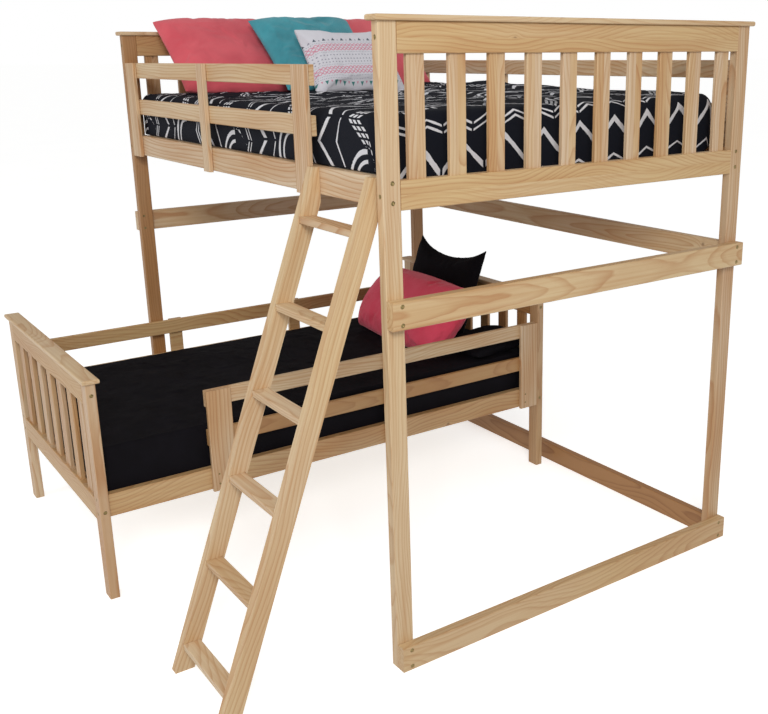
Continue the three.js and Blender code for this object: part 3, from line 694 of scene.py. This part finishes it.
def printed_cotton():
    """Near-black cloth with bands of off-white brush strokes, made up for this cover: zigzags,
    rows of dashes and nested arcs. Bands follow one another along the bed, and each runs
    across it, a little askew: place in the repeat = (u + skew * v + start) mod repeat. Every
    second repeat is moved along its bands by the drop."""
    look = Look("printed_cotton")
    cloth = look.add("ShaderNodeUVMap", uv_map="cloth").outputs[0]
    place = look.place()
    sway = look.noise(cloth, 5.0, 1.0)[1]
    run, along, _ = look.split(look.vector("MULTIPLY_ADD", sway, (0.03, 0.03, 0.0), cloth))
    run = look.scaled(along, PRINT_SKEW, run)
    run = look.plus(run, PRINT_START)
    across = look.math("MODULO", run, PRINT_REPEAT)
    number = look.math("FLOOR", look.math("DIVIDE", run, PRINT_REPEAT))
    even = look.less(look.math("MODULO", number, 2.0), 0.5)
    along = look.scaled(even, PRINT_DROP, along)
    grit = look.noise(cloth, 150.0)[0]
    swell = look.noise(cloth, 16.0, 1.0)[0]
    wobble = look.scaled(grit, 3.2 * MM, -1.6 * MM)
    wobble = look.plus(wobble, look.scaled(swell, 9 * MM, -4.5 * MM))
    fine = look.times(wobble, 0.5)
    beside = look.math("PINGPONG", look.plus(along, ARC_START), ARC_PERIOD)
    over = look.math("SUBTRACT", across, ARC_PLACE)
    from_arcs = look.radius(beside, over)
    dashes = ladder(look, across, look.plus(along, DASH_START), *DASHES, fine)
    inked = look.times(dashes, look.more(from_arcs, ARC_ROOM))
    marks = [zigzag(look, across, along, *band, fine) for band in FINE_ZIGZAGS]
    marks += [
        zigzag(look, across, along, *BOLD_ZIGZAG, wobble),
        arcs(look, over, from_arcs, *BOLD_ARC, wobble),
        arcs(look, over, from_arcs, *FINE_ARC, fine),
    ]
    for mark in marks:
        inked = look.math("MAXIMUM", inked, mark)
    worn = look.noise(place, 600.0)[0]
    faded = look.ramp(worn, (0.35, 0.14), (0.6, 0.0))
    ink = look.mix(faded, rgb(226, 226, 230), rgb(134, 134, 140))
    ground = look.mix(look.ramp(worn, (0.4, 0.0), (0.7, 0.5)), rgb(12, 15, 25), rgb(22, 27, 40))
    colour = look.mix(inked, ground, ink)
    return look.surface(colour, 0.92, weave(look, place), WEAVE_RELIEF, gloss=0.2)


def patterned_cotton():
    """Off-white cloth with rows across it: teal and grey triangles, pink zigzags and dots.
    Each row's motif repeats along it."""
    look = Look("patterned_cotton")
    cloth = look.add("ShaderNodeUVMap", uv_map="cloth").outputs[0]
    along, up, _ = look.split(cloth)

    def row(centre, half):
        """Height within a row, from -1 to 1, and 1 where the place is inside the row."""
        off = look.math("SUBTRACT", up, centre)
        inside = look.less(look.math("ABSOLUTE", off), half)
        return look.math("DIVIDE", off, half), inside

    def pointed(centre, half, period, tip, shift=0.0):
        """Triangles: filled where the distance from a centre line is under the height left."""
        level, inside = row(centre, half)
        beside = look.math("PINGPONG", look.plus(along, shift), period / 2)
        room = look.scaled(level, -tip * 0.55 * half, 0.55 * half)
        return look.times(look.less(beside, room), inside)

    def diamonds(centre, half, period):
        """Two zigzags that mirror each other: | |height| - triangle wave | under a third."""
        level, inside = row(centre, half)
        wave = triangle_wave(look, along, period)
        off = look.math("SUBTRACT", look.math("ABSOLUTE", level), wave)
        near = look.less(look.math("ABSOLUTE", off), 0.30)
        return look.times(near, inside)

    def dots(centre, half, period):
        """Round spots as high as the row."""
        level, inside = row(centre, half)
        beside = look.math("DIVIDE", look.math("PINGPONG", along, period / 2), half)
        spot = look.less(look.radius(beside, level), 1.0)
        return look.times(spot, inside)

    teal, pink = rgb(62, 132, 128), rgb(214, 138, 160)
    grey, ink = rgb(158, 156, 170), rgb(76, 88, 102)
    big, small, wide = 7 * MM, 4 * MM, 40 * MM
    layers = [
        (pointed(0.072, big, wide, 1), ink), (pointed(0.069, small, wide, 1, wide / 2), grey),
        (pointed(-0.024, small, 14 * MM, 1), grey), (pointed(-0.128, big, wide, -1), teal),
        (pointed(-0.125, small, wide, -1, wide / 2), pink),
    ]
    layers += [(diamonds(z, 8 * MM, 17 * MM), pink) for z in (0.041, 0.023, -0.069, -0.087)]
    layers += [(dots(z, 1.6 * MM, 7 * MM), grey) for z in (0.056, 0.008, -0.053, -0.103, -0.113)]
    layers += [(dots(z, 3 * MM, 14 * MM), grey) for z in (-0.006, -0.040)]
    colour = rgb(219, 217, 224)
    for mask, dye in layers:
        colour = look.mix(mask, colour, dye)
    return look.surface(colour, 0.9, weave(look, look.place()), WEAVE_RELIEF, 0.2)


CORAL = plain_cotton("coral_cotton", rgb(230, 97, 107), rgb(213, 81, 93))
DEEP_CORAL = plain_cotton("deep_coral_cotton", rgb(251, 88, 117), rgb(243, 73, 101))
TEAL = plain_cotton("teal_cotton", rgb(70, 163, 176), rgb(54, 136, 149))
BLACK = plain_cotton("black_cotton", rgb(15, 13, 17), rgb(20, 18, 24), 0.0, 0.12)
PRINTED = printed_cotton()
PATTERNED = patterned_cotton()
TICKING = plain_cotton("ticking", rgb(226, 222, 212), rgb(208, 203, 194))


# Mattresses and covers


def rounded_outline(half_x, half_y, radius, count):
    """Points at even steps round a rectangle with round corners, and the outward normals:
    straight runs joined by quarter circles."""
    straight = [2 * (half_y - radius), 2 * (half_x - radius)] * 2
    lengths = np.array([v for run in straight for v in (run, radius * math.pi / 2)])
    stops = np.concatenate([[0], np.cumsum(lengths)])
    place = np.arange(count) * stops[-1] / count
    part = np.searchsorted(stops, place, side="right") - 1
    share = (place - stops[part]) / np.maximum(lengths[part], 1e-9)
    side, turning = part // 2, part % 2
    angle = (side + turning * share) * math.pi / 2
    normal = np.stack([np.cos(angle), np.sin(angle)], -1)
    ahead = np.stack([-np.sin(angle), np.cos(angle)], -1)
    corner_x = np.where((side == 0) | (side == 3), 1, -1) * (half_x - radius)
    corner_y = np.where(side < 2, 1, -1) * (half_y - radius)
    run = np.where(turning == 0, (share - 1) * lengths[part], 0.0)
    points = np.stack([corner_x, corner_y], -1) + radius * normal + run[:, None] * ahead
    return points, normal


def waves(x, y, seed, terms, longest, shortest):
    """Cloth undulation: a sum of sine ripples of shrinking length in spread directions,
    each bent by the one before it. Lies between about -1 and 1."""
    total = np.zeros_like(x)
    bend = np.zeros_like(x)
    for k in range(terms):
        length = longest * (shortest / longest) ** (k / (terms - 1))
        angle = seed * 1.7 + k * 2.4
        phase = (x * math.cos(angle) + y * math.sin(angle)) * 2 * math.pi / length
        bend = np.sin(phase + 1.6 * bend + seed + k)
        total += bend * (length / longest) ** 0.8
    return total / 3


def smooth_step(value):
    """From 0 to 1 as the value goes from 0 to 1, level at both ends: 3 v^2 - 2 v^3."""
    value = np.clip(value, 0, 1)
    return value * value * (3 - 2 * value)


def cloth_map(piece, uv):
    """Stores one (u, v) a point, in metres of flat cloth, as the UV map the print reads."""
    layer = piece.data.uv_layers.new(name="cloth")
    points = np.empty(len(piece.data.loops), np.int32)
    piece.data.loops.foreach_get("vertex_index", points)
    layer.data.foreach_set("uv", uv[points].astype(np.float32).ravel())


CORNER_RADIUS = 48 * MM


def bed_cover(name, node, mattress, body, material, corner, raise_by, roll, crown_high,
              lift, ripple, side_hem, count=720):
    """A cover over a mattress: a profile carried round the mattress's outline. From the centre
    it runs over the top, rolls over the edge and hangs to a folded hem, then goes back up
    inside. The top lies raise_by over the mattress, and a crown and lift(x, y) are added. The
    hem is at the node's lowest level at the bed's two ends and rises by side_hem along its
    sides. The cloth map holds where each point lay while the cover was flat: its place on the
    outline plus the drop."""
    low, high = corners(node)
    under_low, under_high = corners(mattress)
    half = (high - low)[:2] / 2 - ripple - 0.2 * MM
    thick = half[0] - (under_high - under_low)[0] / 2 - 2.0 * MM
    fold = thick / 2
    top = under_high[2] + raise_by
    outline, normal = rounded_outline(*half, corner, count)
    from_side = half[1] - np.abs(outline[:, 1])
    hem = low[2] + 0.3 * MM + side_hem * smooth_step(1.6 - from_side / (45 * MM))
    fall = top - hem - roll - fold
    inner = outline - normal * roll

    rings, flats, crowned, hanging = [], [], [], []

    def ring(points, z, flat, crown=0.0, hang=0.0):
        rings.append(np.column_stack([points, np.broadcast_to(z, count)]))
        flats.append(flat)
        crowned.append(crown)
        hanging.append(hang)

    for share in np.concatenate([np.linspace(0.01, 0.9, 62), np.linspace(0.905, 1.0, 14)]):
        ring(inner * share, top, inner * share, 1.0)
    for turn in np.linspace(0, 1, 9)[1:]:
        angle = turn * math.pi / 2
        ring(inner + normal * roll * math.sin(angle), top - roll * (1 - math.cos(angle)),
             inner + normal * roll * angle, 1 - turn)
    over_edge = inner + normal * roll * math.pi / 2
    for down in np.linspace(0, 1, 26)[1:]:
        ring(outline, top - roll - down * fall, over_edge + normal * (down * fall)[:, None],
             hang=down**0.7)
    hem_flat = flats[-1]
    for turn in np.linspace(0, 1, 7)[1:]:
        angle = turn * math.pi
        ring(outline - normal * fold * (1 - math.cos(angle)), hem + fold * (1 - math.sin(angle)),
             hem_flat + normal * fold * angle, hang=1.0)
    inside = outline - normal * thick
    for down in np.linspace(1, 0, 8)[1:]:
        ring(inside, top - roll - down * fall, hem_flat)
    for share in (0.97, 0.6, 0.01):
        ring(inside * share, top - thick * 0.9, hem_flat)

    grid = np.array(rings)
    x, y = grid[..., 0], grid[..., 1]
    full_x, full_y = (np.clip(1 - (np.abs(v) / h) ** 6, 0, 1) for v, h in zip((x, y), half))
    full = full_x * full_y
    crown = np.array(crowned)[:, None]
    grid[..., 2] += crown * (crown_high * full + lift(x, y) * (0.25 + 0.75 * full))
    round_bed = np.arange(count) / count * 2 * math.pi
    folds = waves(np.cos(round_bed) * half[0] * 1.3, np.sin(round_bed) * half[1] * 1.3,
                  3.0, 7, 0.7, 0.12)
    push = ripple * np.clip(folds, -1, 1) * np.array(hanging)[:, None]
    grid[..., :2] += normal * push[..., None]
    points = grid + np.array((*centre_of(node)[:2], 0.0))
    piece = mesh_piece(name, points, capped(len(rings), count), material, body)
    cloth_map(piece, np.array(flats).reshape(-1, 2))
    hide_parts(node)


def padded_mattress(name, node, body, count=420):
    """A mattress: a profile carried round its outline, with a crowned top, a rolled piping
    line at each edge and sides drawn in between them: inset = 4 mm * sin(pi * height)."""
    low, high = corners(node)
    half = (high - low)[:2] / 2
    outline, normal = rounded_outline(*half, CORNER_RADIUS, count)
    crown, pipe, tuft = 8 * MM, 10 * MM, 1.4 * MM
    edge = high[2] - low[2] - crown
    inner = outline - normal * 24 * MM
    around = np.linspace(0, math.pi, 7)
    piping = [(pipe * (math.sin(a) - 1), -pipe * math.cos(a)) for a in around]
    profile = [(out, 12 * MM + z) for out, z in piping]
    profile += [(-4 * MM * math.sin(math.pi * share) - 6 * MM, 24 * MM + share * (edge - 48 * MM))
                for share in np.linspace(0, 1, 12)[1:-1]]
    profile += [(out, edge - 12 * MM + z) for out, z in piping]
    rings = [np.column_stack([inner * share, np.zeros(count)]) for share in (0.01, 0.5, 1.0)]
    rings += [np.column_stack([outline + normal * out, np.full(count, z)]) for out, z in profile]
    for share in np.linspace(1, 0.01, 40):
        x, y = (inner * share).T
        rise = crown * (1 - (np.abs(x) / half[0]) ** 4) * (1 - (np.abs(y) / half[1]) ** 4)
        quilting = np.cos(x * 2 * math.pi / 0.19) * np.cos(y * 2 * math.pi / 0.19) - 1
        rings.append(np.column_stack([x, y, edge + np.clip(rise + tuft * quilting, 0, None)]))
    points = np.array(rings) + np.array((*centre_of(node)[:2], low[2]))
    faces = [face[::-1] for face in capped(len(rings), count)]
    piece = mesh_piece(name, points, faces, TICKING, body)
    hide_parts(node)


def loft_lift(x, y):
    """Rumples in the comforter: higher toward the wall side, with one thick fold there, and
    finer toward the pillows."""
    toward_wall = np.clip(0.5 + y / 1.4, 0, 1) ** 3.5
    rumple = 44 * MM * toward_wall * (0.9 + 0.2 * np.sin(x * 7.5 + 1.0))
    fold = 22 * MM * np.exp(-(((x + 0.16) / 0.10) ** 2) - ((y - 0.56) / 0.14) ** 2)
    near_pillows = np.clip(0.75 - x, 0.45, 1.1)
    return rumple + fold + 7.5 * MM * (waves(x, y, 1.3, 9, 0.42, 0.07) + 0.2) * near_pillows


def lower_lift(x, y):
    """Gentle creases in the black bedding, mostly across the bed."""
    return 7 * MM * (waves(x, y * 2.2, 4.1, 8, 0.6, 0.1) + 0.1)


padded_mattress("loft_mattress_padded", "loft_mattress", "loft")
padded_mattress("lower_mattress_padded", "twin_mattress", "lower_bed")
bed_cover("comforter", "loft_comforter", "loft_mattress", "loft", PRINTED,
          60 * MM, 5 * MM, 34 * MM, 5 * MM, loft_lift, 1.2 * MM, 21 * MM)
bed_cover("lower_cover", "twin_blanket", "twin_mattress", "lower_bed", BLACK,
          14 * MM, 9 * MM, 11 * MM, 3 * MM, lower_lift, 0.8 * MM, 0.0, 560)


# Pillows


def stuffed_form(size, sides_in, ends_in, rounded, flare, across=90, up=70):
    """A pillow before stuffing. On a grid (u, v) from -1 to 1: x = wide/2 * u * (1 - sides_in *
    (1 - v^2)) * sqrt(1 - rounded * v^2 / 2) * (1 - flare * v), y = high/2 * v * (1 - ends_in *
    (1 - u^2)) * sqrt(1 - rounded * u^2 / 2), and the two faces stand at +-thick/2 *
    ((1 - u^4) * (1 - v^4))^0.55. The faces share the rim."""
    wide, high, thick = size
    u, v = np.meshgrid(np.linspace(-1, 1, across), np.linspace(-1, 1, up), indexing="ij")
    x = wide / 2 * u * (1 - sides_in * (1 - v**2)) * np.sqrt(1 - rounded * v**2 / 2)
    x *= 1 - flare * v
    y = high / 2 * v * (1 - ends_in * (1 - u**2)) * np.sqrt(1 - rounded * u**2 / 2)
    rise = thick / 2 * np.clip((1 - u**4) * (1 - v**4), 0, 1) ** 0.55
    front = np.stack([x, y, rise], -1).reshape(-1, 3)
    back = np.stack([x, y, -rise], -1).reshape(-1, 3)
    number = np.arange(across * up).reshape(across, up)
    rim = (np.abs(u) > 0.9999) | (np.abs(v) > 0.9999)
    behind = np.where(rim, number, number + across * up)
    face, other = (np.stack([n[:-1, :-1], n[1:, :-1], n[1:, 1:], n[:-1, 1:]], -1).reshape(-1, 4)
                   for n in (number, behind))
    return np.concatenate([front, back]), np.concatenate([face, other[:, ::-1]])


def points_of(piece):
    points = np.empty(len(piece.data.vertices) * 3)
    piece.data.vertices.foreach_get("co", points)
    return points.reshape(-1, 3)


# The size of a stuffed pillow's faces, the pressure in it, how many steps it swells for and how
# far a point may move.
VOXEL = 7 * MM
PRESSURE = 4.0
STEPS = 20
MOST_SWELL = 14 * MM


def stuffed(piece):
    """Blows the form up as cloth: rebuilds it in even faces, runs Cloth with pressure and no
    gravity, and lets no point move too far."""
    bpy.context.view_layer.objects.active = piece
    remesh = piece.modifiers.new("even", "REMESH")
    remesh.mode = "VOXEL"
    remesh.voxel_size = VOXEL
    bpy.ops.object.modifier_apply(modifier="even")
    before = points_of(piece)
    cloth = piece.modifiers.new("stuffing", "CLOTH")
    cloth.settings.use_pressure = True
    cloth.settings.uniform_pressure_force = PRESSURE
    cloth.settings.effector_weights.gravity = 0
    cloth.settings.quality = 4
    cloth.settings.bending_stiffness = 0.6
    cloth.point_cache.frame_start = 1
    cloth.point_cache.frame_end = STEPS
    for moment in range(1, STEPS + 1):
        bpy.context.scene.frame_set(moment)
    bpy.ops.object.modifier_apply(modifier="stuffing")
    step = points_of(piece) - before
    length = np.linalg.norm(step, axis=1, keepdims=True)
    step *= np.minimum(1, MOST_SWELL / np.maximum(length, 1e-9))
    piece.data.vertices.foreach_set("co", (before + step).ravel())
    bpy.context.scene.frame_set(1)


def creased(points, size, seed, depth):
    """Stuffing that has settled, and a sewn edge: the points are scaled to the pillow's size,
    the faces are dented along the thickness by the cloth undulation, and close to the rim
    they are gathered by small puckers: 1.4 mm * sin * sin of two slanting runs along them."""
    low, high = points.min(0), points.max(0)
    x, y, z = ((points - (low + high) / 2) * (np.array(size) / (high - low))).T
    full = np.clip(np.abs(z) / (size[2] * 0.35), 0, 1)
    dent = depth * waves(x, y, seed, 7, 0.34, 0.06) * full
    rim = np.exp(-((z / (12 * MM)) ** 2))
    turn_x, turn_y = (x - y) * 2 * math.pi / 0.031, (x + y) * 2 * math.pi / 0.043
    pucker = 1.4 * MM * np.sin(turn_x) * np.sin(turn_y)
    z = z - np.sign(z) * (np.abs(dent) * 0.8 + dent * 0.4) + rim * pucker
    return np.stack([x, y, z], -1)


def pillow(name, node, size, lean, material, body, heading=90, tilt=0, moved=(0, 0, 0),
           seed=1.0, sides_in=0.05, ends_in=0.0, rounded=0.12, flare=0.0,
           crease=5 * MM):
    """A stuffed pillow in the place of its node: made flat, stuffed, creased, then tilted in
    its own plane, leant back and turned to its heading. The middle of its box lies where the
    node's is, moved by a few millimetres."""
    wide, high, thick = size
    points, faces = stuffed_form((wide, high, thick * 0.86), sides_in, ends_in, rounded, flare)
    piece = mesh_piece(name, points, faces.tolist(), material, body)
    stuffed(piece)
    local = creased(points_of(piece), size, seed, crease)
    heading, lean, tilt = (math.radians(angle) for angle in (heading, 90 - lean, tilt))
    turn = (Matrix.Rotation(heading, 3, "Z") @ Matrix.Rotation(lean, 3, "X")
            @ Matrix.Rotation(tilt, 3, "Z"))
    world = local @ np.array(turn).T
    middle = centre_of(node) + np.array(moved) * MM
    world += middle - (world.min(0) + world.max(0)) / 2
    piece.data.vertices.foreach_set("co", world.ravel())
    piece.data.polygons.foreach_set("use_smooth", np.ones(len(piece.data.polygons), bool))
    cloth_map(piece, local[:, :2])
    smooth = piece.modifiers.new("smooth", "SUBSURF")
    smooth.levels = smooth.render_levels = 1
    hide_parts(node)


STANDARD = (0.600, 0.440, 0.140)
SQUARE = (0.480, 0.435, 0.130)
LUMBAR = (0.410, 0.325, 0.115)
LARGE = (0.720, 0.360, 0.190)
UPRIGHT = (0.532, 0.445, 0.090)
SMALL = (0.255, 0.285, 0.090)
for side, moved, seed in (("entry", (0, 18, -2), 1.0), ("wall", (0, 0, -10), 2.1)):
    pillow(f"coral_pillow_{side}", f"loft_pillow_coral_{side}", STANDARD, 49, CORAL,
           "loft", moved=moved, seed=seed, ends_in=-0.02)
pillow("teal_pillow", "loft_pillow_teal", SQUARE, 49, TEAL, "loft", tilt=1.5,
       moved=(0, 10, -7), seed=3.3, crease=10 * MM)
pillow("patterned_pillow", "loft_pillow_patterned", LUMBAR, 38, PATTERNED, "loft",
       heading=86, moved=(0, 18, -16), seed=4.2, ends_in=0.10, rounded=0.05)
pillow("lower_coral_pillow", "twin_pillow_coral", LARGE, 42, DEEP_CORAL,
       "lower_bed", heading=0, tilt=-0.8, moved=(12, 0, -13), seed=5.6, sides_in=0.0, ends_in=0.03,
       rounded=0.45, flare=-0.03)
pillow("lower_black_pillow", "twin_pillow_black_upright", UPRIGHT, 20, BLACK,
       "lower_bed", heading=0, tilt=-0.3, moved=(-9, 0, 3), seed=6.4, sides_in=0.02, ends_in=0.26,
       rounded=0.02, flare=-0.01)
pillow("lower_small_pillow", "twin_pillow_black_low", SMALL, 84, BLACK,
       "lower_bed", heading=0, moved=(0, 0, -8), seed=7.7)


# Studio

FLOOR_REACH = 300.0
FLOOR_GLOW = 0.59
SURROUND_LIGHT = 0.45
# Each lamp's place, what it is aimed at, its power in watts and its width.
LAMPS = {
    "key": ((5.0, -2.6, 3.9), (0.2, 0.0, 1.0), 170, 1.8),
    "fill": ((-0.6, -5.6, 3.2), (-0.2, -0.3, 0.9), 60, 2.4),
}
# The camera, fitted to the photo: the picture's size, the focal length and the middle of the
# lens in its pixels, then the place in metres and the turns in degrees.
PICTURE = (768, 714)
FOCAL_LENGTH = 986.2
LENS_MIDDLE = (476.3, 338.75)
EYE = (3.3196, -1.8227, 1.8206)
AZIMUTH, ELEVATION, ROLL = 53.52, 16.05, -0.40
SENSOR = 36


def studio():
    """A pale floor, an even white surround, and soft lights near the camera's side. Light that
    bounces comes from the surround alone, so the floor can be pale and the shade stay deep."""
    look = Look("pale_floor")
    cloud = look.noise(look.place(), 1.2)[0]
    look.surface(look.mix(cloud, rgb(240, 240, 239), rgb(246, 246, 245)), 0.9, gloss=0.0)
    look.fill(look.shader, {"Emission Color": (1, 1, 1, 1), "Emission Strength": FLOOR_GLOW})
    mesh = bpy.data.meshes.new("floor")
    square = np.array([(-1, -1, 0), (1, -1, 0), (1, 1, 0), (-1, 1, 0)]) * FLOOR_REACH
    mesh.from_pydata(square.tolist(), [], [(0, 1, 2, 3)])
    mesh.materials.append(look.material)
    floor = placed("floor", mesh)
    floor.visible_diffuse = False

    world = bpy.data.worlds.new("studio")
    world.use_nodes = True
    nodes, links = world.node_tree.nodes, world.node_tree.links
    seen = nodes.new("ShaderNodeLightPath").outputs["Is Camera Ray"]
    strength = nodes.new("ShaderNodeMath")
    strength.operation = "MULTIPLY_ADD"
    strength.inputs[1].default_value = 1.0 - SURROUND_LIGHT
    strength.inputs[2].default_value = SURROUND_LIGHT
    links.new(seen, strength.inputs[0])
    nodes["Background"].inputs["Color"].default_value = (1, 1, 1, 1)
    links.new(strength.outputs[0], nodes["Background"].inputs["Strength"])
    bpy.context.scene.world = world

    for name, (place, aim, power, width) in LAMPS.items():
        lamp = bpy.data.lights.new(name, "AREA")
        lamp.energy = power
        lamp.size = width
        light = placed(name, lamp)
        light.location = place
        light.rotation_euler = (Vector(aim) - Vector(place)).to_track_quat("-Z", "Y").to_euler()


def camera():
    """Stands off the foot corner on the ladder side, a little above mattress height."""
    lens = bpy.data.cameras.new("camera")
    wide, high = PICTURE
    lens.sensor_width = SENSOR
    lens.lens = FOCAL_LENGTH / wide * SENSOR
    lens.shift_x = -(LENS_MIDDLE[0] - wide / 2) / wide
    lens.shift_y = -(high / 2 - LENS_MIDDLE[1]) / wide
    eye = placed("camera", lens)
    azimuth, elevation, roll = (math.radians(a) for a in (AZIMUTH, ELEVATION, ROLL))
    turn = (Matrix.Rotation(azimuth, 4, "Z") @ Matrix.Rotation(math.pi / 2 - elevation, 4, "X")
            @ Matrix.Rotation(roll, 4, "Z"))
    eye.matrix_world = Matrix.Translation(EYE) @ turn
    bpy.context.scene.camera = eye


studio()
camera()
bpy.context.scene.view_settings.view_transform = "Standard"
